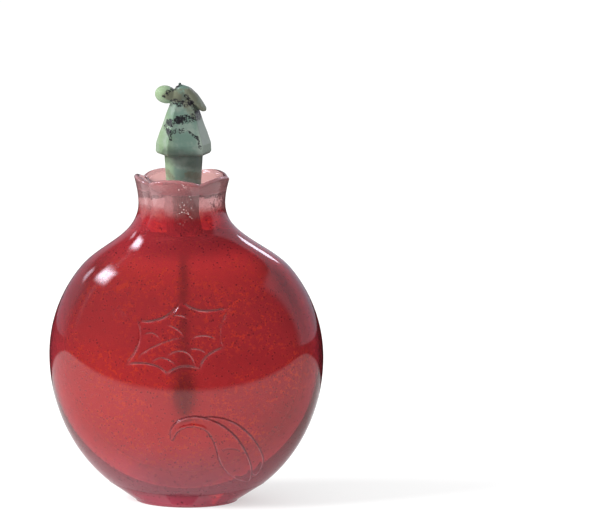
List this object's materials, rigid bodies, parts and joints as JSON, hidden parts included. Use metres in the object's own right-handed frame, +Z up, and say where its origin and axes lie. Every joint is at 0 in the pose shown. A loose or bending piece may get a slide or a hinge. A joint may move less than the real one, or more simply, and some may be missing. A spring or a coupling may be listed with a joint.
{
  "type": "snuff bottle",
  "caption": "Flattened ruby glass snuff bottle in the form of a pomegranate, with a petalled lip, a carved star and leaves, a turquoise stopper, a cork and a spoon.",
  "frame": {"origin": "middle of the foot's underside, on the surface that the bottle stands on", "axes": "+Z up through the neck, -Y out of the carved front, +X to the right when the front is seen"},
  "size_m": [0.0478, 0.028, 0.0733],
  "materials": {
    "ruby_glass": "polished ruby glass, clear pink at the lip, with fine dark specks",
    "turquoise": "polished green turquoise with black veins",
    "cork": "greyed cork",
    "bone": "polished bone"
  },
  "bodies": {
    "root": {"bottle": "ruby_glass", "stopper": "turquoise", "cork": "cork", "spoon": "bone"}
  },
  "joints": []
}
